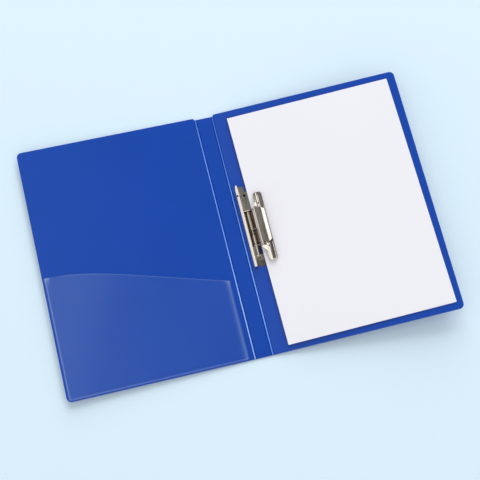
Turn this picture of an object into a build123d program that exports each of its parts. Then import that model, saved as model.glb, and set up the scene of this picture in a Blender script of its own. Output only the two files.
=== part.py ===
from build123d import *
from math import atan2, cos, degrees, radians, sin
import os

os.makedirs("parts", exist_ok=True)

# A clip folder for A4 sheets, lying open with its inside up. All lengths are in millimetres.
# X runs from the front cover to the back cover, Y up the sheets, Z up from the table.
# The origin is in the middle of the spine's outer face, which lies on the table.

# Folder sheet
sheet = 1.2
height = 313.0
front_width = 226.8
back_width = 237.1
spine_width = 21.8
corner_radius = 6.0
inner_corner = 2.0
spine_setback = 2.5
spine_line = 5.5
spine_line_width = 0.8
spine_line_depth = 0.2
front_tilt = 1.5
back_tilt = 5.5

# Living hinges: a bead on each side of the spine, with the covers a gap away from it
bead_radius = sheet / 2
crease_gap = 0.15

# Label sleeve outside the spine
sleeve_film = 0.25
sleeve_pocket = 0.15
sleeve_width = 15.0
sleeve_bottom_margin = 7.0
sleeve_top_margin = 4.0
weld_width = 1.5

# Document pocket inside the front cover. Its mouth is a flat arc that runs into a straight slope.
pocket_film = 0.25
pocket_space = 0.3
pocket_left_margin = 2.2
pocket_right_margin = 6.6
pocket_bottom_margin = 1.2
pocket_corner = 4.5
pocket_weld = 2.5
mouth_left_y = -5.5
mouth_bend = (-123.0, -23.1)
mouth_right_y = -57.2

# Clip base: a channel of bent steel. The clip and the sheets are laid out from a line beside the crease.
deck_start = 1.1
plate = 0.8
bend = 0.8
rim_left = 3.8
rim_width = 4.5
rim_top = 6.5
rim_edge = 5.4
rim_bend = 1.2
rim_lower_end = -48.0
rim_upper_end = 57.0
rim_nose = 6.0
rim_nose_width = 1.6
rim_hole_u = 5.3
rim_hole_y = 43.6
rim_hole_radius = 1.0
floor_top = 1.8
floor_lower_end = -41.0
floor_upper_end = 48.0
base_right = 35.5
seat_start = 19.5
seat_margin = 1.5
window_left = 13.2
window_right = 18.6
window_end = -33.5
foot_slot_left = 9.4
foot_slot_width = 2.2
foot_slot_upper = -8.2
foot_slot_lower = -9.9
foot_length = 7.5
upper_foot_width = 6.4
lower_foot_left = 9.7
lower_foot_width = 8.0
foot_corner = 2.5
eyelet_y = 43.0
eyelet_radius = 1.9
eyelet_ring = 0.7
eyelet_ring_height = 0.5

# Lugs that carry the hinge rod and take the lever's cams
lug = 1.0
lug_y = 22.5
lug_left = 9.9
lug_foot_right = 17.4
lug_nose_right = 21.8
lug_nose_bottom = 4.8
lug_top = 7.7
lug_corner = 1.6
bridge_width = 2.4
bridge_right = 15.2
bridge_sheet = 1.4
bridge_round = 1.0
end_lug_y = -35.0
end_lug_width = 5.4

# Hinge rod and its running clearances
rod_u = 12.5
rod_h = 4.1
rod_radius = 1.1
rod_head = 0.6
rod_head_radius = 1.6
hole_clearance = 0.03
running_clearance = 0.06
knuckle_radius = 2.1

# Clamp plate
clamp_sheet = 0.9
clamp_top = 7.8
clamp_left = 23.2
clamp_right = 34.2
clamp_upper_end = 43.0
clamp_lower_end = -45.0
clamp_corner = 3.6
clamp_round = 1.7
clamp_crown = 0.65
clamp_back_edge = 4.8
web_half = 19.5
web_left = 19.4
web_top = 5.0
web_start = 13.4
web_wall = 18.0
web_bend = 0.7
web_rib_u = 16.2
web_rib_radius = 0.6
web_rib_upper = 18.5
web_rib_lower = 10.5
coil_window = 15.2
gusset_upper = 31.0
gusset_lower = -33.0
gusset_half = 26.5
gusset_slope_start = 25.0
gusset_edge = 7.2
clamp_hole_radius = 1.0
clamp_hole_u = 27.6
clamp_hole_upper = 28.4
clamp_hole_lower = -27.0
cam_slot = 0.4
cam_slot_right = 24.3
ear = 0.9
ear_y = 24.15

# Lever
lever_sheet = 0.8
pin_u = 20.8
pin_h = 9.5
pin_radius = 0.8
pin_head = 0.6
pin_head_radius = 1.25
lever_knuckle_radius = 1.5
lever_right = 33.6
lever_bottom = 8.35
lever_crest = 28.2
lever_tip_left = 26.0
lever_tip_right = 27.6
lever_bend = 1.0
lever_half = 23.0
lever_taper = 4.5
cam = 1.0
cam_radius = 2.3
cam_throw = 0.85
cam_angle = 116.0

# Clamp spring
wire_radius = 0.35
wire_sides = 6
spring_gap = 0.15
spring_upper_end = -2.4
spring_turns = 5
spring_pitch = 1.3
spring_leg_u = 18.55
spring_leg_h = 8.65
spring_leg_end = -18.6
spring_foot = 2.6
spring_foot_angle = 160.0

# Rivets and washers
rivet_u = 13.5
rivet_upper_y = 33.9
rivet_lower_y = -38.2
shank_radius = 1.5
rivet_rim_radius = 2.1
rivet_rim = 0.4
rivet_bore_radius = 0.9
rivet_bore_depth = 2.0
rivet_head_radius = 4.2
rivet_head_flat = 2.4
washer = 0.4
washer_radius = 5.2

# Sheets in the clip: A4 paper, a few millimetres askew as loose sheets lie
paper_width = 210.0
paper_height = 297.0
paper_stack_height = 1.0
paper_left = 18.3
paper_shift = -1.7
paper_turn = 0.6
paper_seat_gap = 0.03
paper_edge_gap = 0.25
jaw_gap = 0.12

# Planes of the two covers. In both, x runs towards +X along the sheet and z stands out of its inner face.
axis_height = sleeve_film + sleeve_pocket + bead_radius
front_plane = Plane(
    origin=(-spine_width / 2, 0, axis_height),
    x_dir=(cos(radians(front_tilt)), 0, -sin(radians(front_tilt))),
    z_dir=(sin(radians(front_tilt)), 0, cos(radians(front_tilt))),
)
back_plane = Plane(
    origin=(spine_width / 2, 0, axis_height),
    x_dir=(cos(radians(back_tilt)), 0, sin(radians(back_tilt))),
    z_dir=(-sin(radians(back_tilt)), 0, cos(radians(back_tilt))),
)
pocket_deck = front_plane.offset(sheet / 2)
deck = Plane(
    origin=back_plane.from_local_coords((deck_start, 0, sheet / 2)),
    x_dir=back_plane.x_dir,
    z_dir=back_plane.z_dir,
)
cover_start = bead_radius + crease_gap


def section(y):
    """The plane across the clip at y: x runs away from the crease and y up from the back cover."""
    return Plane(origin=deck.from_local_coords((0, y, 0)), x_dir=deck.x_dir, z_dir=-deck.y_dir)


# Front cover: its free edge is at -x and its crease edge stops a gap short of the bead
with BuildPart() as front_cover:
    with BuildSketch(front_plane.offset(-sheet / 2)) as front_outline:
        with Locations((-(front_width + cover_start) / 2, 0)):
            Rectangle(front_width - cover_start, height)
        free_corners = front_outline.vertices().sort_by(Axis.X)[:2]
        fillet(free_corners, radius=corner_radius)
        crease_corner = front_outline.vertices().sort_by(Axis.X)[-2:].sort_by(Axis.Y)[-1]
        chamfer(crease_corner, length=inner_corner)
    extrude(amount=sheet)
front_cover.part.label = "front_cover"
export_step(front_cover.part, "parts/front_cover.step")

# Back cover: as the front one, with two holes for the clip's rivets
rivet_ys = (rivet_upper_y, rivet_lower_y)
with BuildPart() as back_cover:
    with BuildSketch(back_plane.offset(-sheet / 2)) as back_outline:
        with Locations(((back_width + cover_start) / 2, 0)):
            Rectangle(back_width - cover_start, height)
        free_corners = back_outline.vertices().sort_by(Axis.X)[-2:]
        fillet(free_corners, radius=corner_radius)
        crease_corner = back_outline.vertices().sort_by(Axis.X)[:2].sort_by(Axis.Y)[-1]
        chamfer(crease_corner, length=inner_corner)
        with Locations(*[(deck_start + rivet_u, y) for y in rivet_ys]):
            Circle(shank_radius + hole_clearance, mode=Mode.SUBTRACT)
    extrude(amount=sheet)
back_cover.part.label = "back_cover"
export_step(back_cover.part, "parts/back_cover.step")

# Spine panel: a strip with a full round on both long edges, which are the beads of the living hinges.
# Its upper end is set back from the covers, and a line is pressed across its inner face near the lower end.
spine_upper_end = height / 2 - spine_setback
spine_lower_end = -height / 2
spine_length = spine_upper_end - spine_lower_end
spine_top = axis_height + sheet / 2
with BuildPart() as spine_panel:
    with BuildSketch(Plane.XZ.offset(-spine_upper_end)):
        with Locations((0, axis_height)):
            SlotCenterToCenter(spine_width, sheet)
    extrude(amount=spine_length)
    with BuildSketch(Plane.XY.offset(spine_top)):
        with Locations((0, spine_lower_end + spine_line)):
            Rectangle(spine_width, spine_line_width)
    extrude(amount=-spine_line_depth, mode=Mode.SUBTRACT)
spine_panel.part.label = "spine_panel"
export_step(spine_panel.part, "parts/spine_panel.step")

# Spine label sleeve: film welded along both sides and across the bottom, open at the top
sleeve_lower_end = spine_lower_end + sleeve_bottom_margin
sleeve_upper_end = spine_upper_end - sleeve_top_margin
sleeve_length = sleeve_upper_end - sleeve_lower_end
sleeve_middle = (sleeve_upper_end + sleeve_lower_end) / 2
sleeve_depth = sleeve_film + sleeve_pocket
with BuildPart() as spine_label_sleeve:
    with BuildSketch():
        with Locations((0, sleeve_middle)):
            Rectangle(sleeve_width, sleeve_length)
    extrude(amount=sleeve_depth)
    with BuildSketch(Plane.XY.offset(sleeve_film)):
        with Locations((0, sleeve_middle + weld_width)):
            Rectangle(sleeve_width - 2 * weld_width, sleeve_length)
    extrude(amount=sleeve_pocket, mode=Mode.SUBTRACT)
spine_label_sleeve.part.label = "spine_label_sleeve"
export_step(spine_label_sleeve.part, "parts/spine_label_sleeve.step")

# Document pocket: film with a curved mouth, held off the cover by its welds on three sides
pocket_left = pocket_left_margin - front_width
pocket_right = -pocket_right_margin
pocket_bottom = pocket_bottom_margin - height / 2
mouth_slope = (mouth_right_y - mouth_bend[1]) / (pocket_right - mouth_bend[0])
with BuildPart() as document_pocket:
    with BuildSketch(pocket_deck) as pocket_shape:
        with BuildLine():
            Spline((pocket_left, mouth_left_y), mouth_bend, tangents=[(1, 0), (1, mouth_slope)])
            Polyline(
                mouth_bend,
                (pocket_right, mouth_right_y),
                (pocket_right, pocket_bottom),
                (pocket_left, pocket_bottom),
                (pocket_left, mouth_left_y),
            )
        make_face()
        low_corners = pocket_shape.vertices().group_by(Axis.Y)[0]
        fillet(low_corners, radius=pocket_corner)
    extrude(amount=pocket_space + pocket_film)
    with BuildSketch(pocket_deck):
        with Locations(((pocket_left + pocket_right) / 2, pocket_weld)):
            Rectangle(pocket_right - pocket_left - 2 * pocket_weld, -2 * pocket_bottom)
    extrude(amount=pocket_space, mode=Mode.SUBTRACT)
document_pocket.part.label = "document_pocket"
export_step(document_pocket.part, "parts/document_pocket.step")

# Clip base: rim, floor and seat are bent from one sheet, and the rim runs past the floor at both ends
rim_right = rim_left + rim_width
rim_middle = rim_left + rim_width / 2
nose_half = rim_nose_width / 2
seat_upper_end = clamp_upper_end + seat_margin
seat_lower_end = clamp_lower_end - seat_margin
window_width = window_right - window_left
window_start = -lug_y - lug
window_length = window_start - window_end
foot_slot_length = foot_slot_upper - foot_slot_lower
boss_radius = rivet_rim_radius + plate
lug_foot = floor_top - plate / 2
with BuildPart() as clip_base:
    with BuildSketch(section(floor_upper_end)):
        with BuildLine():
            FilletPolyline(
                (rim_left, 0),
                (rim_left, rim_edge),
                (rim_right, rim_top),
                (rim_right, floor_top),
                (base_right, floor_top),
                (base_right, 0),
                radius=(rim_bend, rim_bend, bend, bend),
            )
            offset(amount=plate, side=Side.RIGHT)
        make_face()
    extrude(amount=floor_upper_end - floor_lower_end)
    for start, length in (
        (rim_upper_end, rim_upper_end - floor_upper_end),
        (floor_lower_end, floor_lower_end - rim_lower_end),
    ):
        with BuildSketch(section(start)):
            with BuildLine():
                FilletPolyline(
                    (rim_left, 0),
                    (rim_left, rim_edge),
                    (rim_right, rim_top),
                    (rim_right, 0),
                    radius=rim_bend,
                )
                offset(amount=plate, side=Side.RIGHT)
            make_face()
        extrude(amount=length)
    with BuildSketch(section(seat_upper_end)):
        with BuildLine():
            FilletPolyline(
                (seat_start, floor_top),
                (base_right, floor_top),
                (base_right, 0),
                radius=bend,
            )
            offset(amount=plate, side=Side.RIGHT)
        make_face()
    extrude(amount=seat_upper_end - seat_lower_end)
    # The seat is as long as the jaw, so its upper corner of the floor comes off
    with BuildSketch(deck):
        with Locations((seat_start, seat_upper_end)):
            Rectangle(base_right, floor_upper_end, align=(Align.MIN, Align.MIN))
    extrude(amount=rim_top, mode=Mode.SUBTRACT)
    # Pointed upper end of the rim
    with BuildSketch(deck):
        with BuildLine():
            Polyline(
                (rim_left, rim_upper_end - rim_nose),
                (rim_middle - nose_half, rim_upper_end),
                (rim_left, rim_upper_end),
                close=True,
            )
        make_face()
        with BuildLine():
            Polyline(
                (rim_right, rim_upper_end - rim_nose),
                (rim_middle + nose_half, rim_upper_end),
                (rim_right, rim_upper_end),
                close=True,
            )
        make_face()
    extrude(amount=rim_top, mode=Mode.SUBTRACT)
    # Window that the lower lug is bent out of, and a slot that the spring's foot dips into
    with BuildSketch(deck):
        with Locations((window_left, window_end)):
            Rectangle(window_width, window_length, align=(Align.MIN, Align.MIN))
        with Locations((foot_slot_left, foot_slot_lower)):
            Rectangle(foot_slot_width, foot_slot_length, align=(Align.MIN, Align.MIN))
    extrude(amount=rim_top, mode=Mode.SUBTRACT)
    # Feet slope from the floor down to the cover
    for edge, way, left, width in (
        (floor_upper_end, 1, rim_right - plate, upper_foot_width + plate),
        (floor_lower_end, -1, lower_foot_left, lower_foot_width),
    ):
        with BuildSketch(Plane(deck.from_local_coords((left, 0, 0)), x_dir=deck.y_dir, z_dir=deck.x_dir)):
            with BuildLine():
                Polyline(
                    (edge - way * plate, floor_top),
                    (edge, floor_top),
                    (edge + way * foot_length, plate),
                    (edge + way * foot_length, 0),
                    (edge, floor_top - plate),
                    (edge - way * plate, floor_top - plate),
                    close=True,
                )
            make_face()
        extrude(amount=width)
    for foot_end in (floor_upper_end + foot_length, floor_lower_end - foot_length):
        upright = clip_base.edges().filter_by(Axis((0, 0, 0), tuple(deck.z_dir)))
        at_end = upright.filter_by_position(Axis.Y, foot_end - 0.01, foot_end + 0.01)
        fillet(at_end.sort_by(Axis.X)[-1], radius=foot_corner)
    # Bosses carry the rivets down to the cover, and a ring stands round the eyelet
    with BuildSketch(deck):
        with Locations((rivet_u, rivet_upper_y), (rivet_u, rivet_lower_y)):
            Circle(boss_radius)
    extrude(amount=floor_top)
    with BuildSketch(deck.offset(floor_top)):
        with Locations((rivet_u, eyelet_y)):
            Circle(eyelet_radius + eyelet_ring)
    extrude(amount=eyelet_ring_height)
    with BuildSketch(deck):
        with Locations((rivet_u, rivet_upper_y), (rivet_u, rivet_lower_y)):
            Circle(shank_radius + hole_clearance)
        with Locations((rivet_u, eyelet_y)):
            Circle(eyelet_radius)
    extrude(amount=rim_top, mode=Mode.SUBTRACT)
    # Lugs stand up from the floor, and their noses reach over the sheets
    for y in (lug_y, -lug_y):
        with BuildSketch(section(y + lug / 2)):
            with BuildLine():
                FilletPolyline(
                    (lug_left, lug_foot),
                    (lug_left, lug_top),
                    (lug_nose_right, lug_top),
                    (lug_nose_right, lug_nose_bottom),
                    (lug_foot_right, lug_nose_bottom),
                    (lug_foot_right, lug_foot),
                    radius=lug_corner / 2,
                )
                Line((lug_foot_right, lug_foot), (lug_left, lug_foot))
            make_face()
        extrude(amount=lug)
    # A rounded bridge ties the upper lug to the rim
    bridge_start = Plane(deck.from_local_coords((rim_right - plate / 2, 0, 0)), x_dir=deck.y_dir, z_dir=deck.x_dir)
    with BuildSketch(bridge_start) as bridge_shape:
        with Locations((lug_y, lug_top - bridge_sheet / 2)):
            Rectangle(bridge_width, bridge_sheet)
        fillet(bridge_shape.vertices().group_by(Axis.Y)[-1], radius=bridge_round)
    extrude(amount=bridge_right - rim_right + plate / 2)
    with BuildSketch(section(end_lug_y + lug / 2)):
        with BuildLine():
            FilletPolyline(
                (lug_left, lug_foot),
                (lug_left, rod_h + knuckle_radius),
                (lug_left + end_lug_width, rod_h + knuckle_radius),
                (lug_left + end_lug_width, lug_foot),
                radius=lug_corner,
            )
            Line((lug_left + end_lug_width, lug_foot), (lug_left, lug_foot))
        make_face()
    extrude(amount=lug)
    with BuildSketch(section(rim_upper_end)):
        with Locations((rod_u, rod_h)):
            Circle(rod_radius + hole_clearance)
    extrude(amount=rim_upper_end - rim_lower_end, mode=Mode.SUBTRACT)
    with BuildSketch(deck):
        with Locations((rim_hole_u, rim_hole_y)):
            Circle(rim_hole_radius)
    extrude(amount=rim_top, mode=Mode.SUBTRACT)
clip_base.part.label = "clip_base"
export_step(clip_base.part, "parts/clip_base.step")

# Hinge rod: peened over outside the end lugs
rod_upper = lug_y + lug / 2
rod_lower = end_lug_y - lug / 2
with BuildPart() as hinge_rod:
    with BuildSketch(section(rod_upper)):
        with Locations((rod_u, rod_h)):
            Circle(rod_radius)
    extrude(amount=rod_upper - rod_lower)
    for y in (rod_upper + rod_head, rod_lower):
        with BuildSketch(section(y)):
            with Locations((rod_u, rod_h)):
                Circle(rod_head_radius)
        extrude(amount=rod_head)
    along = hinge_rod.faces().sort_by(Axis.Y)
    chamfer(along[0].edges() + along[-1].edges(), length=rod_head / 2)
hinge_rod.part.label = "hinge_rod"
export_step(hinge_rod.part, "parts/hinge_rod.step")

# Where the sheets lie: on the seat beside the clip, and just clear of the cover at their outer edge
paper_slope = (floor_top + paper_seat_gap - paper_edge_gap) / (paper_left + paper_width - base_right)
paper_tilt = atan2(paper_slope, 1)
seat_bottom = floor_top + paper_seat_gap
jaw_bottom = seat_bottom + paper_stack_height + paper_slope * (base_right - clamp_left) + jaw_gap

# Clamp plate: a bar with flanges all round, a web back to the rod and two ears for the lever's pin
clamp_middle = ((clamp_left + clamp_right) / 2, (clamp_upper_end + clamp_lower_end) / 2)
clamp_width = clamp_right - clamp_left
clamp_length = clamp_upper_end - clamp_lower_end
hollow_width = clamp_width - 2 * clamp_sheet
hollow_length = clamp_length - 2 * clamp_sheet
plate_bottom = clamp_top - clamp_sheet
spring_length = spring_turns * spring_pitch
coil_radius = rod_radius + spring_gap + wire_radius
coil_room = coil_radius + wire_radius + spring_gap
coil_start = spring_upper_end + wire_radius + spring_gap
coil_end = spring_upper_end - spring_length - wire_radius - spring_gap
up = Axis((0, 0, 0), tuple(deck.z_dir))
with BuildPart() as clamp_plate:
    with BuildSketch(deck.offset(jaw_bottom)):
        with Locations(clamp_middle):
            RectangleRounded(clamp_width, clamp_length, clamp_corner)
    extrude(amount=clamp_top - jaw_bottom)
    fillet(clamp_plate.faces().sort_by(up)[-1].edges(), radius=clamp_round)
    with BuildSketch(section(clamp_upper_end)):
        with BuildLine():
            ThreePointArc(
                (clamp_left, clamp_top - clamp_crown),
                (clamp_middle[0], clamp_top),
                (clamp_right, clamp_top - clamp_crown),
            )
            Polyline(
                (clamp_right, clamp_top - clamp_crown),
                (clamp_right, clamp_top + clamp_crown),
                (clamp_left, clamp_top + clamp_crown),
                (clamp_left, clamp_top - clamp_crown),
            )
        make_face()
    extrude(amount=clamp_length, mode=Mode.SUBTRACT)
    with BuildSketch(deck.offset(jaw_bottom)):
        with Locations(clamp_middle):
            RectangleRounded(hollow_width, hollow_length, clamp_corner - clamp_sheet)
    extrude(amount=plate_bottom - jaw_bottom, mode=Mode.SUBTRACT)
    # The flange towards the hinge ends higher, clear of the sheets
    with BuildSketch(section(clamp_upper_end)):
        with BuildLine():
            Polyline(
                (clamp_left, jaw_bottom),
                (clamp_right - clamp_corner, jaw_bottom),
                (clamp_left + clamp_sheet, clamp_back_edge),
                (clamp_left, clamp_back_edge),
                close=True,
            )
        make_face()
    extrude(amount=clamp_length, mode=Mode.SUBTRACT)
    # Shoulders between the bar and the ears
    with BuildSketch(deck.offset(plate_bottom)):
        with BuildLine():
            Polyline(
                (clamp_left + clamp_round, gusset_upper),
                (web_left, gusset_half),
                (web_left, -gusset_half),
                (clamp_left + clamp_round, gusset_lower),
                close=True,
            )
        make_face()
    extrude(amount=clamp_sheet)
    # Outside the ears the shoulders lean down from the bar's crown
    bar_start = clamp_left + clamp_round
    crown_fall = clamp_crown * ((clamp_middle[0] - bar_start) / (clamp_width / 2)) ** 2
    for start, length in (
        (gusset_upper, gusset_upper - gusset_slope_start),
        (-gusset_slope_start, -gusset_slope_start - gusset_lower),
    ):
        with BuildSketch(section(start)):
            with BuildLine():
                Polyline(
                    (web_left, gusset_edge),
                    (bar_start, clamp_top - crown_fall),
                    (bar_start, clamp_top),
                    (web_left, clamp_top),
                    close=True,
                )
            make_face()
        extrude(amount=length, mode=Mode.SUBTRACT)
    # Web and knuckle
    with BuildSketch(section(web_half)):
        with BuildLine():
            FilletPolyline(
                (web_start, web_top),
                (web_wall, web_top),
                (web_wall, clamp_top),
                (clamp_left + clamp_round, clamp_top),
                radius=(web_bend, clamp_sheet),
            )
            offset(amount=clamp_sheet, side=Side.RIGHT)
        make_face()
        with Locations((rod_u, rod_h)):
            Circle(knuckle_radius)
            Circle(rod_radius + running_clearance, mode=Mode.SUBTRACT)
    extrude(amount=2 * web_half)
    # Room for the spring's coil and for the leg that leaves it
    with BuildSketch(section(coil_start)):
        with Locations((rod_u, rod_h)):
            Circle(coil_room)
            Rectangle(coil_window - rod_u, clamp_top, align=(Align.MIN, Align.MIN))
    extrude(amount=coil_start - coil_end, mode=Mode.SUBTRACT)
    # A pressed rib stiffens the web
    with BuildSketch(section(web_rib_upper)):
        with Locations((web_rib_u, web_top)):
            Circle(web_rib_radius)
    extrude(amount=web_rib_upper - web_rib_lower)
    # Slots for the lugs and the cams
    with BuildSketch(deck):
        with Locations((coil_window, lug_y), (coil_window, -lug_y)):
            Rectangle(cam_slot_right - coil_window, lug + 2 * cam_slot, align=(Align.MIN, Align.CENTER))
    extrude(amount=clamp_top, mode=Mode.SUBTRACT)
    # Ears
    for y in (ear_y, -ear_y):
        with BuildSketch(section(y + ear / 2)):
            with Locations((pin_u, pin_h)):
                Circle(pin_head_radius)
            with Locations((pin_u, plate_bottom)):
                Rectangle(2 * pin_head_radius, pin_h - plate_bottom, align=(Align.CENTER, Align.MIN))
            with Locations((pin_u, pin_h)):
                Circle(pin_radius + hole_clearance, mode=Mode.SUBTRACT)
        extrude(amount=ear)
    with BuildSketch(deck):
        with Locations((clamp_hole_u, clamp_hole_upper), (clamp_hole_u, clamp_hole_lower)):
            Circle(clamp_hole_radius)
    extrude(amount=clamp_top, mode=Mode.SUBTRACT)
clamp_plate.part.label = "clamp_plate"
export_step(clamp_plate.part, "parts/clamp_plate.step")

# Clamp spring: a coil round the rod, with one leg over the web and the other in the window.
# The round wire is drawn with flat sides.
spring_section = section(spring_upper_end)
spring_centre = spring_section.from_local_coords((rod_u, rod_h, 0))
rise = atan2(spring_leg_h - rod_h - coil_radius, spring_leg_u - rod_u)
start_angle = 90 + degrees(rise)
coil_height = (spring_turns + (spring_foot_angle - start_angle) / 360) * spring_pitch
coil_plane = Plane(spring_centre, x_dir=deck.x_dir, z_dir=-deck.y_dir)
coil = coil_plane * Rot(0, 0, start_angle) * Helix(spring_pitch, coil_height, coil_radius)
leg_corner = spring_section.from_local_coords((spring_leg_u, spring_leg_h, 0))
leg_end = section(spring_leg_end).from_local_coords((spring_leg_u, spring_leg_h, 0))
foot_way = radians(spring_foot_angle + 90)
foot_dir = deck.x_dir * cos(foot_way) + deck.z_dir * sin(foot_way)
leg_dir = (leg_corner - coil @ 0).normalized()
leg = Polyline(coil @ 0 - leg_dir * wire_radius, leg_corner, leg_end)
foot = Line(coil @ 1 - foot_dir * wire_radius, coil @ 1 + foot_dir * spring_foot)
with BuildPart() as clamp_spring:
    for path in (coil, leg, foot):
        with BuildSketch(Plane(path @ 0, z_dir=path % 0)):
            RegularPolygon(wire_radius, wire_sides)
        sweep(path=path, is_frenet=path is coil, transition=Transition.RIGHT)
clamp_spring.part.label = "clamp_spring"
export_step(clamp_spring.part, "parts/clamp_spring.step")

# Lever pin: a rod through both ears, peened over outside them
pin_half = ear_y + ear / 2
with BuildPart() as lever_pin:
    with BuildSketch(section(pin_half)):
        with Locations((pin_u, pin_h)):
            Circle(pin_radius)
    extrude(amount=2 * pin_half)
    for y in (pin_half + pin_head, -pin_half):
        with BuildSketch(section(y)):
            with Locations((pin_u, pin_h)):
                Circle(pin_head_radius)
        extrude(amount=pin_head)
    along = lever_pin.faces().sort_by(Axis.Y)
    chamfer(along[0].edges() + along[-1].edges(), length=pin_head / 2)
lever_pin.part.label = "lever_pin"
export_step(lever_pin.part, "parts/lever_pin.step")

# Lever: bent sheet on a barrel rolled round the pin, with a cam at each end of the barrel
cam_u = pin_u + cam_throw * cos(radians(cam_angle))
cam_h = pin_h + cam_throw * sin(radians(cam_angle))
lever_top = pin_h + lever_knuckle_radius
with BuildPart() as lever:
    with BuildSketch(section(lever_half)):
        with BuildLine():
            FilletPolyline(
                (pin_u, lever_top),
                (lever_crest, lever_top),
                (lever_right - lever_sheet, pin_h),
                (lever_right, lever_bottom),
                radius=lever_bend,
            )
            offset(amount=lever_sheet, side=Side.RIGHT)
        make_face()
    extrude(amount=2 * lever_half)
    # Both ends taper in from the sides
    with BuildSketch(deck.offset(lever_bottom)):
        for end in (1, -1):
            with BuildLine():
                Polyline(
                    (lever_tip_right, end * lever_half),
                    (lever_right, end * (lever_half - lever_taper)),
                    (lever_right, end * lever_half),
                    close=True,
                )
            make_face()
            with BuildLine():
                Polyline(
                    (lever_tip_left, end * lever_half),
                    (pin_u, end * (lever_half - lever_taper)),
                    (pin_u, end * lever_half),
                    close=True,
                )
            make_face()
    extrude(amount=lever_top, mode=Mode.SUBTRACT)
    with BuildSketch(section(lever_half)):
        with Locations((pin_u, pin_h)):
            Circle(lever_knuckle_radius)
    extrude(amount=2 * lever_half)
    for y in (lug_y, -lug_y):
        with BuildSketch(section(y + cam / 2)):
            with Locations((cam_u, cam_h)):
                Circle(cam_radius)
        extrude(amount=cam)
    with BuildSketch(section(lever_half)):
        with Locations((pin_u, pin_h)):
            Circle(pin_radius + running_clearance)
    extrude(amount=2 * lever_half, mode=Mode.SUBTRACT)
lever.part.label = "lever"
export_step(lever.part, "parts/lever.step")

# Rivets: a domed head outside, a shank through the cover and a rolled rim inside the clip.
# The heads just reach the table.
head_start = -sheet - washer
rivet_inner_edge = axis_height + (rivet_u - rivet_head_flat) * sin(radians(back_tilt))
head_bottom = -sheet / 2 - rivet_inner_edge / cos(radians(back_tilt))
rim_height = floor_top + rivet_rim
with BuildPart() as upper_rivet:
    with BuildSketch(section(rivet_upper_y)):
        with BuildLine():
            Polyline(
                (rivet_u, head_bottom),
                (rivet_u + rivet_head_flat, head_bottom),
                (rivet_u + rivet_head_radius, head_start - washer / 2),
                (rivet_u + rivet_head_radius, head_start),
                (rivet_u + shank_radius, head_start),
                (rivet_u + shank_radius, floor_top),
                (rivet_u + rivet_rim_radius, floor_top),
                (rivet_u + rivet_rim_radius - rivet_rim / 2, rim_height),
                (rivet_u + rivet_bore_radius, rim_height),
                (rivet_u + rivet_bore_radius, rim_height - rivet_bore_depth),
                (rivet_u, rim_height - rivet_bore_depth),
                close=True,
            )
        make_face()
    revolve(axis=Axis(deck.from_local_coords((rivet_u, rivet_upper_y, 0)), tuple(deck.z_dir)))
upper_rivet.part.label = "upper_rivet"
export_step(upper_rivet.part, "parts/upper_rivet.step")

with BuildPart() as lower_rivet:
    add(upper_rivet.part.moved(Location((0, rivet_lower_y - rivet_upper_y, 0))))
lower_rivet.part.label = "lower_rivet"
export_step(lower_rivet.part, "parts/lower_rivet.step")

with BuildPart() as upper_rivet_washer:
    with BuildSketch(deck.offset(head_start)):
        with Locations((rivet_u, rivet_upper_y)):
            Circle(washer_radius)
            Circle(shank_radius + hole_clearance, mode=Mode.SUBTRACT)
    extrude(amount=washer)
upper_rivet_washer.part.label = "upper_rivet_washer"
export_step(upper_rivet_washer.part, "parts/upper_rivet_washer.step")

with BuildPart() as lower_rivet_washer:
    with BuildSketch(deck.offset(head_start)):
        with Locations((rivet_u, rivet_lower_y)):
            Circle(washer_radius)
            Circle(shank_radius + hole_clearance, mode=Mode.SUBTRACT)
    extrude(amount=washer)
lower_rivet_washer.part.label = "lower_rivet_washer"
export_step(lower_rivet_washer.part, "parts/lower_rivet_washer.step")

# Sheets: one block, turned a little on the cover and sloping down from the seat
paper_start = seat_bottom + paper_slope * (base_right - paper_left)
paper_origin = deck.from_local_coords((paper_left, paper_shift, paper_start))
paper_along = deck.x_dir * cos(paper_tilt) - deck.z_dir * sin(paper_tilt)
paper_across = deck.x_dir * sin(paper_tilt) + deck.z_dir * cos(paper_tilt)
with BuildPart() as paper_stack:
    with BuildSketch(Plane(paper_origin, x_dir=paper_along, z_dir=paper_across).rotated((0, 0, paper_turn))):
        Rectangle(paper_width, paper_height, align=(Align.MIN, Align.CENTER))
    extrude(amount=paper_stack_height)
paper_stack.part.label = "paper_stack"
export_step(paper_stack.part, "parts/paper_stack.step")
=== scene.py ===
import math

import bmesh
import bpy
from mathutils import Matrix, Vector


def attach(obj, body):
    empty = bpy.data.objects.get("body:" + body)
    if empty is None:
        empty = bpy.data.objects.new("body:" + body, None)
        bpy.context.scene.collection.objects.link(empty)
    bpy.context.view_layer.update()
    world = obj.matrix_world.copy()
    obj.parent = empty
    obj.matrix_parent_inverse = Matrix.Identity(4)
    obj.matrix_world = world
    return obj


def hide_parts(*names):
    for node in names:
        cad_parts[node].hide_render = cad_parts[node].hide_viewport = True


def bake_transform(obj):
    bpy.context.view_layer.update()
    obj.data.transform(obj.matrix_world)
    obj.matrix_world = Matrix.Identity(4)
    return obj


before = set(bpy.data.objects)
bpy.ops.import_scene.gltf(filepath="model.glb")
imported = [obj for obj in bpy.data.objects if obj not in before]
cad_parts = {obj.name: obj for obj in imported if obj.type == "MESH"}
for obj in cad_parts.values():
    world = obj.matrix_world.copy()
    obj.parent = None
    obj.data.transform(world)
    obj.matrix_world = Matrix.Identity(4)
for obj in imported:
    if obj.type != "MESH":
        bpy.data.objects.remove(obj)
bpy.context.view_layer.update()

mm = 0.001


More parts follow.
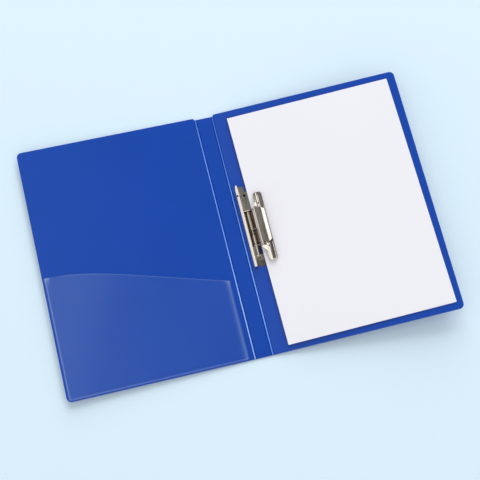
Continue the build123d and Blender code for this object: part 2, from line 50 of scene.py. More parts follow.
# Camera
# The photograph is taken from almost straight above, a little towards the
# front cover's lower corner, with the spine leaning to the right.
camera_place = Vector((-163.2, -285.8, 1196.8)) * mm
camera_view = Vector((0.1096, 0.2296, -0.9671))
camera_right = Vector((0.9704, -0.2355, 0.0541))
camera_up = Vector((0.2153, 0.9444, 0.2486))
camera_data = bpy.data.cameras.new("camera")
camera_data.sensor_width = 36
camera_data.lens = 75.66
camera_data.shift_x = 0.06
camera = bpy.data.objects.new("camera", camera_data)
bpy.context.scene.collection.objects.link(camera)
turn = Matrix((camera_right, camera_up, -camera_view)).transposed()
camera.matrix_world = Matrix.Translation(camera_place) @ turn.to_4x4()
bpy.context.scene.camera = camera
bpy.context.scene.view_settings.view_transform = "Standard"


# Floor and light
# A pale blue sheet of paper under the folder, a wide soft lamp beyond its
# upper edge, and a studio room whose walls and ceiling are bands of light and
# dark across, which the bright metal of the clip reflects.
floor_color = (0.716, 0.878, 0.985, 1)
floor_size = 8
room_light = 1.02
left_tone, right_tone = 0.8, 0.2
room_tones = (
    (-0.78, 0.8), (-0.45, 1.1), (-0.42, 0.5), (-0.40, 0.5), (-0.37, 1.25), (-0.26, 1.4),
    (-0.13, 1.3), (-0.08, 0.34), (-0.03, 0.2), (0.04, 0.09), (0.50, 0.09), (0.52, 1.7),
    (0.61, 1.7), (0.64, 0.3), (0.97, 0.15),
)
far_start, far_end, far_tone = 0.27, 0.6, 0.2
near_start, near_end, near_tone = -0.15, -0.45, 0.85
lamp_width, lamp_height = 8.8, 7.3
lamp_power = 750
lamp_place = Vector((1.9, 7.2, 4.3))


def node(tree, kind, inputs=None, **settings):
    """A node of that kind, with its settings and the values or links of its inputs."""
    made = tree.nodes.new(kind)
    for key, value in settings.items():
        setattr(made, key, value)
    for key, value in (inputs or {}).items():
        if isinstance(value, bpy.types.NodeSocket):
            tree.links.new(value, made.inputs[key])
        else:
            made.inputs[key].default_value = value
    return made


def mixed(tree, factor, first, second):
    """A colour between the two."""
    return node(tree, "ShaderNodeMix", {
        "Factor": factor, "A": first, "B": second,
    }, data_type="RGBA").outputs["Result"]


def new_material(name):
    """A material with an empty node tree."""
    material = bpy.data.materials.new(name)
    material.use_nodes = True
    material.node_tree.nodes.clear()
    return material, material.node_tree


def surface(tree, inputs):
    """The shader of a material, with these inputs, and the material's output."""
    shader = node(tree, "ShaderNodeBsdfPrincipled", inputs)
    node(tree, "ShaderNodeOutputMaterial", {"Surface": shader.outputs[0]})


def gray(tone):
    """A colour without hue."""
    return (tone, tone, tone, 1)


bpy.ops.mesh.primitive_plane_add(size=floor_size, location=(0, 0, 0))
floor = bpy.context.object
floor.name = "floor"
floor_paper, tree = new_material("floor paper")
surface(tree, {"Base Color": floor_color, "Roughness": 0.9, "Specular IOR Level": 0.1})
floor.data.materials.append(floor_paper)

lamp_data = bpy.data.lights.new("lamp", "AREA")
lamp_data.shape = "RECTANGLE"
lamp_data.size = lamp_width
lamp_data.size_y = lamp_height
lamp_data.energy = lamp_power
lamp = bpy.data.objects.new("lamp", lamp_data)
bpy.context.scene.collection.objects.link(lamp)
lamp.location = lamp_place
lamp.visible_glossy = False
lamp.rotation_euler = (-lamp_place).to_track_quat("-Z", "Y").to_euler()

world = bpy.data.worlds.new("room")
bpy.context.scene.world = world
world.use_nodes = True
tree = world.node_tree
tree.nodes.clear()
direction = node(tree, "ShaderNodeTexCoord").outputs["Generated"]
part = node(tree, "ShaderNodeSeparateXYZ", {"Vector": direction})
across = node(tree, "ShaderNodeMapRange", {
    "Value": part.outputs["X"], "From Min": -1.0, "From Max": 1.0,
})
ramp = node(tree, "ShaderNodeValToRGB", {"Fac": across.outputs["Result"]})
steps = ramp.color_ramp.elements
steps[0].position, steps[0].color = 0.0, gray(left_tone)
steps[1].position, steps[1].color = 1.0, gray(right_tone)
for x, tone in room_tones:
    steps.new((x + 1) / 2).color = gray(tone)
shade = ramp.outputs["Color"]
for start, end, tone in ((far_start, far_end, far_tone), (near_start, near_end, near_tone)):
    share = node(tree, "ShaderNodeMapRange", {
        "Value": part.outputs["Y"], "From Min": start, "From Max": end,
    }, interpolation_type="SMOOTHSTEP")
    shade = mixed(tree, share.outputs["Result"], shade, gray(tone))
room = node(tree, "ShaderNodeBackground", {"Color": shade, "Strength": room_light})
node(tree, "ShaderNodeOutputWorld", {"Surface": room.outputs[0]})


# Covers and spine
# One sheet of blue polypropylene, rolled with a fine satin grain and pressed
# with two creases, so that the covers swing on the thinned plastic.
blue = (0.006, 0.062, 0.405)
# Crease colours: whitened by bending together with a painted highlight, paler still above 1, and
# painted shade in the grooves beside the ridge.
stretched_highlight_blue = (0.19, 0.39, 1.0, 1)
crazed_highlight_blue = (0.62, 0.82, 1.0, 1)
groove_shade_blue = (0.001, 0.02, 0.2, 1)
# Near-black painted shade for the back cover deep under the clip.
painted_shade_blue = (0.001, 0.006, 0.04)
cover_roughness = 0.31
spine_width = 21.8
sheet = 1.2
front_tilt = math.radians(1.5)
back_tilt = math.radians(5.5)
axis_height = 1.0
deck_start = 1.1
crease_lower_end, crease_upper_end = -156.5, 154.0


def noise(tree, place, scale, detail):
    """Soft noise over the place."""
    return node(tree, "ShaderNodeTexNoise", {
        "Vector": place, "Scale": scale, "Detail": detail,
    }).outputs["Fac"]


def ranged(tree, value, low, high):
    """The value from 0 to 1, brought to the range from low to high."""
    return node(tree, "ShaderNodeMapRange", {
        "Value": value, "To Min": low, "To Max": high,
    }).outputs["Result"]


def combined(tree, operation, first, second):
    """What the operation makes of two values."""
    return node(tree, "ShaderNodeMath", {0: first, 1: second}, operation=operation).outputs[0]


def spread(color, dark, light):
    """The colour times each of the two factors."""
    return [tuple(min(1.0, c * factor) for c in color) + (1,) for factor in (dark, light)]


def to_deck():
    """Rotation and shift from the row frame to the clip's frame.

    There u runs across from the crease, y along it, and h is the height over
    the back cover's inner face.
    """
    turn = Matrix.Rotation(back_tilt, 4, "Y")
    origin = Vector((spine_width / 2, 0, axis_height)) * mm
    return turn, turn @ -origin - Vector((deck_start, 0, sheet / 2)) * mm


def on_back(u, y, h):
    """A place over the back cover's inner face, in the row frame."""
    across, up = deck_start + u, h + sheet / 2
    return Vector((
        spine_width / 2 + across * math.cos(back_tilt) - up * math.sin(back_tilt),
        y,
        axis_height + across * math.sin(back_tilt) + up * math.cos(back_tilt),
    ))


def shaded(tree, place, shade, dark, boxes):
    """The shade, darkened by painted shade inside soft-edged boxes of the clip's frame."""
    turn, shift = to_deck()
    local = node(tree, "ShaderNodeMapping", {
        "Vector": place, "Location": shift, "Rotation": turn.to_euler(),
    })
    at = node(tree, "ShaderNodeSeparateXYZ", {"Vector": local.outputs["Vector"]})
    for box in boxes:
        share = box["share"]
        for axis, side in zip("XYZ", "uyh"):
            low, high = box[side]
            for start, end in ((low, low + box["soft"]), (high, high - box["soft"])):
                rising = end > start
                step = node(tree, "ShaderNodeMapRange", {
                    "Value": at.outputs[axis],
                    "From Min": min(start, end) * mm, "From Max": max(start, end) * mm,
                    "To Min": 0.0 if rising else 1.0, "To Max": 1.0 if rising else 0.0,
                }, interpolation_type="SMOOTHSTEP")
                share = combined(tree, "MULTIPLY", share, step.outputs["Result"])
        shade = mixed(tree, share, shade, dark + (1,))
    return shade


def sheet_material(name, color, roughness, press=False, painted_shade=()):
    """Satin plastic with a fine grain and a little unevenness in tone and gloss.

    Pressed plastic takes its tone from an attribute: whitened by bending together
    with a painted highlight, pale up to 1 and white above, and painted shade of the
    grooves below 0. Inside the given boxes a painted shade darkens it.
    """
    material, tree = new_material(name)
    place = node(tree, "ShaderNodeTexCoord").outputs["Object"]
    cloud = noise(tree, place, scale=9.0, detail=4.0)
    shade = mixed(tree, cloud, *spread(color, dark=0.93, light=1.07))
    if press:
        crease_tone = node(tree, "ShaderNodeAttribute", attribute_name="crease_tone").outputs["Fac"]
        for factor, pressed in (
            (crease_tone, stretched_highlight_blue),
            (combined(tree, "SUBTRACT", crease_tone, 1.0), crazed_highlight_blue),
            (combined(tree, "MULTIPLY", crease_tone, -1.0), groove_shade_blue),
        ):
            share = node(tree, "ShaderNodeClamp", {"Value": factor}).outputs["Result"]
            shade = mixed(tree, share, shade, pressed)
    # Painted shade darkens the plastic inside the given boxes.
    if painted_shade:
        shade = shaded(tree, place, shade, painted_shade_blue, painted_shade)
    grain = noise(tree, place, scale=1100.0, detail=2.0)
    bump = node(tree, "ShaderNodeBump", {"Height": grain, "Strength": 0.12, "Distance": 0.0001})
    surface(tree, {
        "Base Color": shade,
        "Roughness": ranged(tree, cloud, low=roughness - 0.04, high=roughness + 0.04),
        "Normal": bump.outputs["Normal"],
        "Specular IOR Level": 0.2 if press else 0.45,
    })
    return material


def paint(name, material):
    """The CAD node gets this material alone."""
    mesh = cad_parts[name].data
    mesh.materials.clear()
    mesh.materials.append(material)


def mesh_piece(name, points, faces, material):
    """A mesh object of these points, in millimetres, with its faces turned outwards."""
    mesh = bpy.data.meshes.new(name)
    mesh.from_pydata([Vector(p) * mm for p in points], [], faces)
    mesh.materials.append(material)
    shape = bmesh.new()
    shape.from_mesh(mesh)
    bmesh.ops.recalc_face_normals(shape, faces=shape.faces)
    shape.to_mesh(mesh)
    shape.free()
    mesh.shade_smooth()
    piece = bpy.data.objects.new(name, mesh)
    bpy.context.scene.collection.objects.link(piece)
    return piece


blue_sheet = sheet_material("blue polypropylene", blue, cover_roughness)
# Boxes of painted shade on the back cover: in the clip's lower window and round its eyelet hole,
# deep under the metal.
window_painted_shade = dict(u=(8.0, 19.5), y=(-35.5, -6.0), h=(-2.0, 2.0), soft=1.0, share=0.9)
eyelet_painted_shade = dict(u=(11.0, 16.0), y=(40.0, 46.0), h=(-2.0, 2.0), soft=0.5, share=1.0)
clip_sheet = sheet_material(
    "blue polypropylene under the clip", blue, cover_roughness, painted_shade=(window_painted_shade, eyelet_painted_shade)
)
paint("front_cover", blue_sheet)
paint("spine_panel", blue_sheet)
paint("back_cover", clip_sheet)


# Hinge webs
# The pressed creases: a ridge of stretched plastic between two faint grooves
# on the inside and a thin web on the outside. The ridge is paler, partly
# whitened from bending and partly a painted highlight, most of all in its
# lower half, and the grooves beside it carry painted shade.
web_rows = 160
web_roughness = 0.24
web_reach = 1.0
# Profile columns: across, up and tone; tone above 0 is whitened plastic with a painted highlight,
# below 0 painted shade in the grooves.
ridge_profile = (
    (-2.5, 0.56, 0.0), (-2.3, 0.605, 0.0), (-1.7, 0.615, -0.5), (-1.0, 0.625, -0.7),
    (-0.7, 0.68, -0.1), (-0.62, 0.80, 0.9), (-0.25, 0.90, 1.0), (0.25, 0.90, 1.0),
    (0.62, 0.80, 0.9), (0.7, 0.68, -0.1), (1.0, 0.625, -0.35), (1.6, 0.615, -0.2),
    (2.0, 0.605, 0.0), (2.2, 0.56, 0.0), (0.5, 0.3, 0.0), (-0.5, 0.3, 0.0),
)
back_profile = (
    (-1.1, -0.57, 0.0), (-0.8, -0.63, 0.1), (0.0, -0.66, 0.2), (0.8, -0.63, 0.1),
    (1.1, -0.57, 0.0), (0.5, -0.35, 0.0), (-0.5, -0.35, 0.0),
)
# How pale each ridge is along its length: whitened by bending together with a painted highlight,
# strongest in the lower half.
front_paleness = (
    (-156.5, 1.25), (-90, 1.45), (-20, 1.05), (20, 0.86), (110, 0.85), (154, 0.55),
)
back_paleness = (
    (-156.5, 0.7), (-110, 1.15), (-40, 1.1), (10, 0.85), (45, 0.8), (85, 0.48), (154, 0.34),
)
blue_web = sheet_material("stretched polypropylene", blue, web_roughness, press=True)


def along(table, y):
    """The value of a table of places and values at y."""
    for (start, low), (end, high) in zip(table, table[1:]):
        if y <= end:
            return low + (high - low) * (y - start) / (end - start)
    return table[-1][1]


def strip(profile, centre, way, tilt, ridge_paleness):
    """Points, faces and crease tone of a closed bar along the crease.

    The profile's points are across, up and tone: whitened plastic with a painted
    highlight above 0, and painted shade in the grooves below 0. Those on the
    cover's side lean with the cover.
    """
    points, faces, crease_tone = [], [], []
    count = len(profile)
    for row in range(web_rows + 1):
        y = crease_lower_end + (crease_upper_end - crease_lower_end) * row / web_rows
        for across, up, white in profile:
            lean = tilt * max(0.0, min(1.0, across))
            x = across * math.cos(lean) - up * math.sin(lean)
            z = across * math.sin(lean) + up * math.cos(lean)
            points.append((centre + way * x, y, axis_height + z))
            crease_tone.append(white * along(ridge_paleness, y) if white > 0 else white)
    for row in range(web_rows):
        for i in range(count):
            a, b = row * count + i, row * count + (i + 1) % count
            faces.append((a, b, b + count, a + count))
    faces.append(tuple(range(count)))
    faces.append(tuple(web_rows * count + i for i in range(count)))
    return points, faces, crease_tone


for name, body, way, tilt, ridge_paleness in (
    ("front_hinge_web", "front_cover", -1, front_tilt, front_paleness),
    ("back_hinge_web", "back_cover", 1, back_tilt, back_paleness),
):
    centre = way * spine_width / 2
    points, faces, crease_tone = strip(ridge_profile, centre, way, tilt, ridge_paleness)
    back_points, back_faces, back_crease_tone = strip(back_profile, centre, way, tilt, ridge_paleness)
    faces += [tuple(i + len(points) for i in face) for face in back_faces]
    web = mesh_piece(name, points + back_points, faces, blue_web)
    values = web.data.attributes.new("crease_tone", "FLOAT", "POINT").data
    values.foreach_set("value", crease_tone + back_crease_tone)
    start = Vector((centre - way * web_reach, 0, axis_height)) * mm
    end = Vector((centre + way * web_reach, 0, axis_height)) * mm
    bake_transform(web)


# Document pocket
# Clear frosted film, welded to the front cover along its outer edge, its
# lower edge and beside the crease, and cut to a long curve at its mouth.
film_color = (0.48, 0.68, 1.0, 1)
film, film_gap = 0.2, 0.03
film_lift, ripple_height = 0.2, 0.1
pocket_left, pocket_right, pocket_bottom = -224.6, -6.6, -155.3
mouth_left_y, mouth_bend, mouth_right_y = -5.5, (-123.0, -23.1), -57.2
pocket_corner = 4.5
pocket_columns, pocket_rows = 170, 110
column_crowding, row_crowding = 0.08, 0.06
weld_width, loose_width = 2.5, 6
weld_line, tab_line, streak_line = 1.4, 3.4, 1.6
# Shares of the film's whiteness: clear film, painted sheen, painted highlight on the cut edge,
# whitened welds, and painted highlights at the tab and along the streak.
clear_haze, painted_sheen, edge_highlight = 0.014, 0.026, 0.08
weld_haze, tab_highlight, streak_highlight = 0.21, 0.2, 0.11


def mouth_height(x):
    """Height of the mouth: a flat curve that runs into a straight slope."""
    slope = (mouth_right_y - mouth_bend[1]) / (pocket_right - mouth_bend[0])
    if x > mouth_bend[0]:
        return mouth_bend[1] + slope * (x - mouth_bend[0])
    span = mouth_bend[0] - pocket_left
    t = (x - pocket_left) / span
    fall = mouth_bend[1] - mouth_left_y
    return mouth_left_y + fall * (3 * t * t - 2 * t**3) + slope * span * (t**3 - t * t)


def on_front(x, y, z):
    """A place over the front cover's inner face, in the row frame."""
    up = z + sheet / 2
    return (
        -spine_width / 2 + x * math.cos(front_tilt) + up * math.sin(front_tilt),
        y,
        axis_height - x * math.sin(front_tilt) + up * math.cos(front_tilt),
    )


def crowded(t, crowding):
    """A share of the way from 0 to 1, drawn a little towards both ends."""
    return t - crowding * math.sin(2 * math.pi * t)


def film_height(x, y, side):
    """Height of the film's lower face: down on the welds, loose and rippled inside them."""
    inside = min(side, y - pocket_bottom)
    lift = max(0.0, min(1.0, (inside - weld_width) / loose_width))
    ripple = math.sin(x * 0.061 + 1.3 * math.sin(y * 0.043)) * math.sin(y * 0.052 + 0.8)
    return film_gap + lift * lift * (3 - 2 * lift) * (film_lift + ripple_height * ripple)


def bell(distance, width, power=2):
    """1 at no distance, falling off to both sides."""
    return math.exp(-((distance / width) ** power))


def film_haze_and_light(x, y, mouth):
    """The film's whiteness: a little everywhere, a painted sheen towards its outer
    edge, a painted highlight along its cut edge, its whitened welds, and painted
    highlights where the film curls at the tab and along a streak beside the right weld.
    """
    out, up, down, inner = x - pocket_left, y - pocket_bottom, mouth - y, pocket_right - x
    streak_side = inner - streak_line
    sheen = 0.5 * bell(out, 100) + 0.6 / (1 + math.exp((out - 58 - 0.45 * (y + 60)) / 8))
    edge = bell(down, 0.8) * min(1.0, max(0.0, (out - 14) / 12))
    weld = bell(out - weld_line, 0.5) + 0.6 * bell(up - weld_line, 0.55)
    tab = bell(out - tab_line, 3.0, power=4) * math.exp(-max(0.0, down - 1.0) / 4.0)
    streak = bell(streak_side, 0.7 if streak_side < 0 else 3.4) * (0.8 + 0.8 * bell(down, 5))
    haze_and_light = clear_haze + painted_sheen * sheen + edge_highlight * edge
    return haze_and_light + weld_haze * weld + tab_highlight * tab + streak_highlight * streak


frosted_film, tree = new_material("frosted film")
# The film's alpha carries its whiteness together with the painted sheen and highlights.
milk_and_light = node(tree, "ShaderNodeAttribute", attribute_name="haze_and_light").outputs["Fac"]
place = node(tree, "ShaderNodeTexCoord").outputs["Object"]
cloud = noise(tree, place, scale=14.0, detail=3.0)
veil = combined(tree, "MULTIPLY", milk_and_light, ranged(tree, cloud, low=0.75, high=1.25))
surface(tree, {"Base Color": film_color, "Roughness": 0.28, "Alpha": veil})

points, faces, haze_and_light = [], [], []
for layer in (0, 1):
    for column in range(pocket_columns + 1):
        t = crowded(column / pocket_columns, column_crowding)
        x = pocket_left + (pocket_right - pocket_left) * t
        side = min(x - pocket_left, pocket_right - x)
        corner = max(0.0, pocket_corner - side)
        fall = math.sqrt(max(0.0, pocket_corner**2 - corner**2))
        low, high = pocket_bottom + pocket_corner - fall, mouth_height(x)
        for row in range(pocket_rows + 1):
            y = low + (high - low) * crowded(row / pocket_rows, row_crowding)
            points.append(on_front(x, y, film_height(x, y, side) + layer * film))
            haze_and_light.append(film_haze_and_light(x, y, high))
stride = pocket_rows + 1
count = (pocket_columns + 1) * stride
for column in range(pocket_columns):
    for row in range(pocket_rows):
        a = column * stride + row
        faces.append((a, a + stride, a + stride + 1, a + 1))
        faces.append((a + count, a + count + 1, a + count + stride + 1, a + count + stride))
rim = list(range(pocket_rows + 1))
rim += [column * stride + pocket_rows for column in range(1, pocket_columns + 1)]
rim += [pocket_columns * stride + row for row in range(pocket_rows - 1, -1, -1)]
rim += [column * stride for column in range(pocket_columns - 1, 0, -1)]
for i, a in enumerate(rim):
    b = rim[(i + 1) % len(rim)]
    faces.append((a, b, b + count, a + count))
pocket = mesh_piece("pocket_film", points, faces, frosted_film)
pocket.data.attributes.new("haze_and_light", "FLOAT", "POINT").data.foreach_set("value", haze_and_light)
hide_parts("document_pocket")
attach(pocket, "front_cover")


# Spine label sleeve
# Clear film, welded along its sides to the outside of the spine, for a slip of
# paper with the folder's title. It is empty.
label_film_color = (0.7, 0.78, 0.86, 1)
clear_film, tree = new_material("clear film")
place = node(tree, "ShaderNodeTexCoord").outputs["Object"]
cloud = noise(tree, place, scale=40.0, detail=3.0)
surface(tree, {
    "Base Color": label_film_color,
    "Roughness": ranged(tree, cloud, low=0.08, high=0.22),
    "Alpha": ranged(tree, cloud, low=0.12, high=0.2),
})
paint("spine_label_sleeve", clear_film)


# Clip base
# Sheet steel, stamped, bent into a channel with a folded rim, tumbled until
# its edges are round and plated with bright nickel. Painted shade darkens
# the nickel deep in the channel, on the floor beside it and round the rim's
# hole, standing in for shade and dark reflections. Two tubular rivets hold it
# to the back cover.
nickel = (0.78, 0.72, 0.64)
# Colours of painted shade on the nickel: for the darkened boxes, and near black inside the rivets'
# bores.
painted_shade_nickel = (0.17, 0.12, 0.08)
bore_shade_color = tuple(c * 0.15 for c in painted_shade_nickel)
polish, bore_roughness = 0.09, 0.4
tumbled_edge = 0.12
sharp_angle, flat_angle = math.radians(35), math.radians(1.0)
same_place = 2e-6
rivet_u = 13.5
rivets = (("upper_rivet", 33.9, 0.95), ("lower_rivet", -38.2, 1.35))
clip_up = Vector((-math.sin(back_tilt), 0, math.cos(back_tilt)))


def nickel_material(name, color, roughness, darkened=()):
    """Bright nickel plate, faintly streaked along Y by rolling, and darkened by painted shade in
    some boxes.
    """
    material, tree = new_material(name)
    place = node(tree, "ShaderNodeTexCoord").outputs["Object"]
    cloud = noise(tree, place, scale=90.0, detail=4.0)
    drawn = node(tree, "ShaderNodeMapping", {"Vector": place, "Scale": (900, 30, 900)})
    streak = noise(tree, drawn.outputs["Vector"], scale=1.0, detail=3.0)
    shade = mixed(tree, streak, *spread(color, dark=0.86, light=1.10))
    # Painted shade inside the given boxes.
    if darkened:
        shade = shaded(tree, place, shade, painted_shade_nickel, darkened)
    bump = node(tree, "ShaderNodeBump", {"Height": cloud, "Strength": 0.25, "Distance": 0.0004})
    surface(tree, {
        "Base Color": shade,
        "Metallic": 1.0,
        "Roughness": ranged(tree, cloud, low=roughness * 0.6, high=roughness * 1.4),
        "Normal": bump.outputs["Normal"],
    })
    return material


def softened(name, node_name, body, width, material, bore=None):
    """A copy of the CAD node with its edges rounded, as tumbling leaves them.

    A bore is a place on its axis and a radius, within which the metal gets a
    near-black painted shade.
    """
    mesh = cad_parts[node_name].data.copy()
    mesh.name = name
    mesh.materials.clear()
    mesh.materials.append(material)
    shape = bmesh.new()
    shape.from_mesh(mesh)
    bmesh.ops.remove_doubles(shape, verts=shape.verts, dist=same_place)
    bmesh.ops.dissolve_limit(shape, angle_limit=flat_angle, verts=shape.verts, edges=shape.edges)
    if bore:
        place, radius = bore
        mesh.materials.append(painted_bore_shade)
        for face in shape.faces:
            reach = max((corner.co - place).cross(clip_up).length for corner in face.verts)
            face.material_index = 1 if reach < radius else 0
    shape.to_mesh(mesh)
    shape.free()
    mesh.shade_smooth()
    mesh.set_sharp_from_angle(angle=sharp_angle)
    piece = bpy.data.objects.new(name, mesh)
    bpy.context.scene.collection.objects.link(piece)
    bevel = piece.modifiers.new("tumbled edges", "BEVEL")
    bevel.width = width * mm
    bevel.segments = 2
    bevel.limit_method = "ANGLE"
    bevel.angle_limit = sharp_angle
    bevel.harden_normals = True
    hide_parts(node_name)
    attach(piece, body)


# Boxes of painted shade on the base: deep in the channel, on the floor beside it where the clamp
# would be mirrored dark, and round the rim's hole.
channel = dict(u=(7.6, 19.5), y=(-23.3, 23.3), h=(-0.5, 4.6), soft=0.8, share=1.0)
upper_floor = dict(u=(8.6, 20.0), y=(22.0, 62.0), h=(-0.5, 2.6), soft=4.0, share=0.75)
lower_floor = dict(u=(8.6, 20.0), y=(-56.0, -22.0), h=(-0.5, 2.6), soft=2.0, share=0.8)
rim_hole_shade = dict(u=(4.0, 6.6), y=(42.3, 44.9), h=(3.0, 8.0), soft=0.3, share=0.9)
base_plate = nickel_material(
    "plated base steel", nickel, polish, darkened=(channel, upper_floor, lower_floor, rim_hole_shade)
)
bright_nickel = nickel_material("bright nickel", nickel, polish)
# Near-black painted shade for the inside of the rivets' bores.
painted_bore_shade = nickel_material("dull bore", bore_shade_color, bore_roughness)
softened("plated_base", "clip_base", "back_cover", tumbled_edge, base_plate)
for name, y, shade_radius in rivets:
    washer = name + "_washer"
    bore = (on_back(rivet_u, y, 0) * mm, shade_radius * mm)
    softened("plated_" + name, name, "back_cover", tumbled_edge / 3, bright_nickel, bore)
    softened("plated_" + washer, washer, "back_cover", tumbled_edge / 2, bright_nickel)


# Hinge rod
# Drawn steel wire, nickel-plated, pushed through the lugs and peened over at
# both ends.
softened("plated_rod", "hinge_rod", "back_cover", tumbled_edge / 2, bright_nickel)


# Clamp plate
# Sheet steel, pressed to a flanged bar with a low web to the rod, and plated
# like the base. The lever's pin is peened over outside its two ears.
# Boxes of painted shade on the clamp: the low web under the lever, half as strong on the knuckle
# round the rod, and the outer flange, which would otherwise mirror the white paper.
low_web = dict(u=(13.6, 19.3), y=(-21.5, 21.5), h=(-0.5, 7.6), soft=0.8, share=1.0)
knuckle = dict(u=(10.4, 14.4), y=(-22.0, 22.0), h=(1.5, 6.6), soft=0.8, share=0.5)
outer_flange = dict(u=(32.5, 36.0), y=(-46.0, 44.0), h=(0.0, 8.2), soft=0.5, share=0.8)
clamp_steel = nickel_material(
    "plated clamp steel", nickel, polish, darkened=(low_web, knuckle, outer_flange)
)
softened("plated_clamp", "clamp_plate", "clamp", tumbled_edge, clamp_steel)
softened("plated_pin", "lever_pin", "clamp", tumbled_edge / 2, bright_nickel)


# Lever
# Sheet steel, rolled round the pin along one side and bent down along the
# other, with a cam at each end, then polished and plated.
# A box of painted shade on the lever's bent-down edge, which would otherwise mirror the white
# paper.
lever_edge = dict(u=(32.9, 35.0), y=(-23.5, 23.5), h=(7.0, 9.4), soft=0.35, share=0.85)
lever_steel = nickel_material("plated lever steel", nickel, polish, darkened=(lever_edge,))
softened("plated_lever", "lever", "lever", tumbled_edge, lever_steel)


# Clamp spring
# Round spring wire, wound round the rod: one leg runs along the web under the
# lever, the other stands in a slot of the base.
spring_color, spring_roughness = (0.52, 0.49, 0.45), 0.2
rod_u, rod_h, rod_radius = 12.5, 4.1, 1.1
wire_radius, bend_radius = 0.35, 0.7
spring_gap = 0.15
spring_upper_end = -2.4
spring_turns, spring_pitch = 5, 1.3
leg_end_u, leg_end_h, leg_end_y = 18.55, 8.65, -18.6
spring_foot, foot_angle = 2.6, math.radians(160.0)
coil_steps, bend_steps, wire_sides = 32, 6, 12


def new_tree(name, sizes):
    """A geometry tree and its inputs: a geometry and these named sizes."""
    tree = bpy.data.node_groups.new(name, "GeometryNodeTree")
    tree.interface.new_socket("Geometry", in_out="INPUT", socket_type="NodeSocketGeometry")
    for label, value in sizes.items():
        kind = "NodeSocketInt" if isinstance(value, int) else "NodeSocketFloat"
        tree.interface.new_socket(label, in_out="INPUT", socket_type=kind)
    tree.interface.new_socket("Geometry", in_out="OUTPUT", socket_type="NodeSocketGeometry")
    return tree, tree.nodes.new("NodeGroupInput").outputs


def finished(tree, shape, material):
    """The end of a geometry tree: the shape as one mesh, with its material."""
    whole = node(tree, "GeometryNodeRealizeInstances", {"Geometry": shape})
    whole = node(tree, "GeometryNodeSetMaterial", {
        "Geometry": whole.outputs["Geometry"], "Material": material,
    })
    node(tree, "NodeGroupOutput", {"Geometry": whole.outputs["Geometry"]})


def grown(name, mesh, tree, sizes, place):
    """The plain mesh that the tree grows from this one, put in its place in the row frame."""
    seedling = bpy.data.objects.new(name + " start", mesh)
    bpy.context.scene.collection.objects.link(seedling)
    modifier = seedling.modifiers.new(name, "NODES")
    modifier.node_group = tree
    for item in tree.interface.items_tree:
        if item.in_out == "INPUT" and item.name in sizes:
            modifier[item.identifier] = sizes[item.name]
    graph = bpy.context.evaluated_depsgraph_get()
    made = bpy.data.meshes.new_from_object(seedling.evaluated_get(graph))
    bpy.data.objects.remove(seedling)
    made.name = name
    made.transform(place)
    piece = bpy.data.objects.new(name, made)
    bpy.context.scene.collection.objects.link(piece)
    return piece


def toward(angle):
    """A direction about the rod."""
    return Vector((math.cos(angle), math.sin(angle), 0))


coil_radius = rod_radius + spring_gap + wire_radius
leg_u, leg_h = leg_end_u - rod_u, leg_end_h - rod_h
start_angle = math.pi / 2 + math.atan2(leg_h - coil_radius, leg_u)
turns = spring_turns + (foot_angle - start_angle) / (2 * math.pi)
coil_start = toward(start_angle) * coil_radius
coil_end = toward(foot_angle) * coil_radius + Vector((0, 0, turns * spring_pitch))
foot_end = coil_end + toward(foot_angle + math.pi / 2) * spring_foot
leg_bend, leg_end = (leg_u, leg_h, 0), (leg_u, leg_h, spring_upper_end - leg_end_y)
wire_line = [Vector(p) * mm for p in (coil_start, leg_bend, leg_end, coil_end, foot_end)]
wire_mesh = bpy.data.meshes.new("spring legs")
wire_mesh.from_pydata(wire_line, [(0, 1), (1, 2), (3, 4)], [])

spring_sizes = {
    "Wire Radius": wire_radius * mm, "Coil Radius": coil_radius * mm, "Pitch": spring_pitch * mm,
    "Turns": turns, "Start Angle": start_angle, "Bend Radius": bend_radius * mm,
}
spring_steel = nickel_material("spring steel", spring_color, spring_roughness)
tree, sizes = new_tree("wound spring", spring_sizes)
legs = node(tree, "GeometryNodeMeshToCurve", {"Mesh": sizes["Geometry"]})
legs = node(tree, "GeometryNodeFilletCurve", {
    "Curve": legs.outputs["Curve"], "Radius": sizes["Bend Radius"], "Count": bend_steps,
}, mode="POLY")
coil = node(tree, "GeometryNodeCurveSpiral", {
    "Resolution": coil_steps, "Rotations": sizes["Turns"],
    "Start Radius": sizes["Coil Radius"], "End Radius": sizes["Coil Radius"],
    "Height": combined(tree, "MULTIPLY", sizes["Turns"], sizes["Pitch"]),
})
spin = node(tree, "ShaderNodeCombineXYZ", {"Z": sizes["Start Angle"]})
coil = node(tree, "GeometryNodeTransform", {
    "Geometry": coil.outputs["Curve"], "Rotation": spin.outputs["Vector"],
})
wire = node(tree, "GeometryNodeJoinGeometry")
tree.links.new(legs.outputs["Curve"], wire.inputs["Geometry"])
tree.links.new(coil.outputs["Geometry"], wire.inputs["Geometry"])
ring = node(tree, "GeometryNodeCurvePrimitiveCircle", {
    "Resolution": wire_sides, "Radius": sizes["Wire Radius"],
})
wound = node(tree, "GeometryNodeCurveToMesh", {
    "Curve": wire.outputs["Geometry"], "Profile Curve": ring.outputs["Curve"], "Fill Caps": True,
})
finished(tree, wound.outputs["Mesh"], spring_steel)
lying = Matrix.Rotation(-back_tilt, 4, "Y") @ Matrix.Rotation(math.radians(90), 4, "X")
place = Matrix.Translation(on_back(rod_u, spring_upper_end, rod_h) * mm) @ lying
spring = grown("wound_spring", wire_mesh, tree, spring_sizes, place)
spring.data.shade_smooth()
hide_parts("clamp_spring")
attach(spring, "clamp")


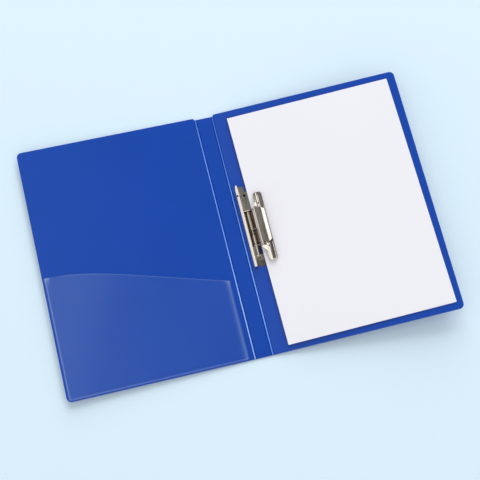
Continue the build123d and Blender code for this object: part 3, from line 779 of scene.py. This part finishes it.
# Sheets
# A thin pile of white A4 office paper, pushed into the clip by hand, so that
# its edges aren't quite flush.
paper_color = (0.87, 0.865, 0.925)
sheet_sizes = {
    "Sheets": 10, "Width": 208.0 * mm, "Height": 295.2 * mm, "Step": 0.1 * mm,
    "Thickness": 0.09 * mm, "Shift": 0.3 * mm, "Turn": 0.0008, "Seed": 4,
}
paper_width = 210.0
paper_left, paper_shift, paper_turn = 18.3, -1.7, math.radians(0.6)
seat_height, clip_right, outer_gap = 1.83, 35.5, 0.25
pile_middle = Vector((104.25, 0, 0.05)) * mm

white_paper, tree = new_material("white paper")
place = node(tree, "ShaderNodeTexCoord").outputs["Object"]
fibre = noise(tree, place, scale=1600.0, detail=3.0)
cloud = noise(tree, place, scale=12.0, detail=2.0)
bump = node(tree, "ShaderNodeBump", {"Height": fibre, "Strength": 0.1, "Distance": 0.00005})
surface(tree, {
    "Base Color": mixed(tree, cloud, *spread(paper_color, dark=0.985, light=1.015)),
    "Roughness": 0.75,
    "Normal": bump.outputs["Normal"],
    "Specular IOR Level": 0.25,
})

tree, sizes = new_tree("loose sheets", sheet_sizes)
size = node(tree, "ShaderNodeCombineXYZ", {
    "X": sizes["Width"], "Y": sizes["Height"], "Z": sizes["Thickness"],
})
leaf = node(tree, "GeometryNodeMeshCube", {
    "Size": size.outputs["Vector"], "Vertices X": 2, "Vertices Y": 2, "Vertices Z": 2,
})
step = node(tree, "ShaderNodeCombineXYZ", {"Z": sizes["Step"]})
pile = node(tree, "GeometryNodeMeshLine", {
    "Count": sizes["Sheets"], "Offset": step.outputs["Vector"],
})
turn = node(tree, "FunctionNodeRandomValue", {
    "Seed": sizes["Seed"],
    "Min": combined(tree, "MULTIPLY", sizes["Turn"], -1.0), "Max": sizes["Turn"],
}, data_type="FLOAT")
spin = node(tree, "ShaderNodeCombineXYZ", {"Z": turn.outputs["Value"]})
leaves = node(tree, "GeometryNodeInstanceOnPoints", {
    "Points": pile.outputs["Mesh"], "Instance": leaf.outputs["Mesh"],
    "Rotation": spin.outputs["Vector"],
})
nudge = node(tree, "FunctionNodeRandomValue", {
    "Seed": sizes["Seed"], "Min": (-1, -1, 0), "Max": (1, 1, 0),
}, data_type="FLOAT_VECTOR")
nudge = node(tree, "ShaderNodeVectorMath", {
    0: nudge.outputs["Value"], "Scale": sizes["Shift"],
}, operation="SCALE")
leaves = node(tree, "GeometryNodeTranslateInstances", {
    "Instances": leaves.outputs["Instances"], "Translation": nudge.outputs["Vector"],
})
finished(tree, leaves.outputs["Instances"], white_paper)

paper_slope = (seat_height - outer_gap) / (paper_left + paper_width - clip_right)
paper_tilt = math.atan(paper_slope)
paper_start = seat_height + paper_slope * (clip_right - paper_left)
lean = Matrix.Rotation(paper_tilt - back_tilt, 4, "Y") @ Matrix.Rotation(paper_turn, 4, "Z")
corner = Matrix.Translation(on_back(paper_left, paper_shift, paper_start) * mm)
place = corner @ lean @ Matrix.Translation(pile_middle)
sheets = grown("loose_sheets", bpy.data.meshes.new("pile"), tree, sheet_sizes, place)
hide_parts("paper_stack")
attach(sheets, "paper")
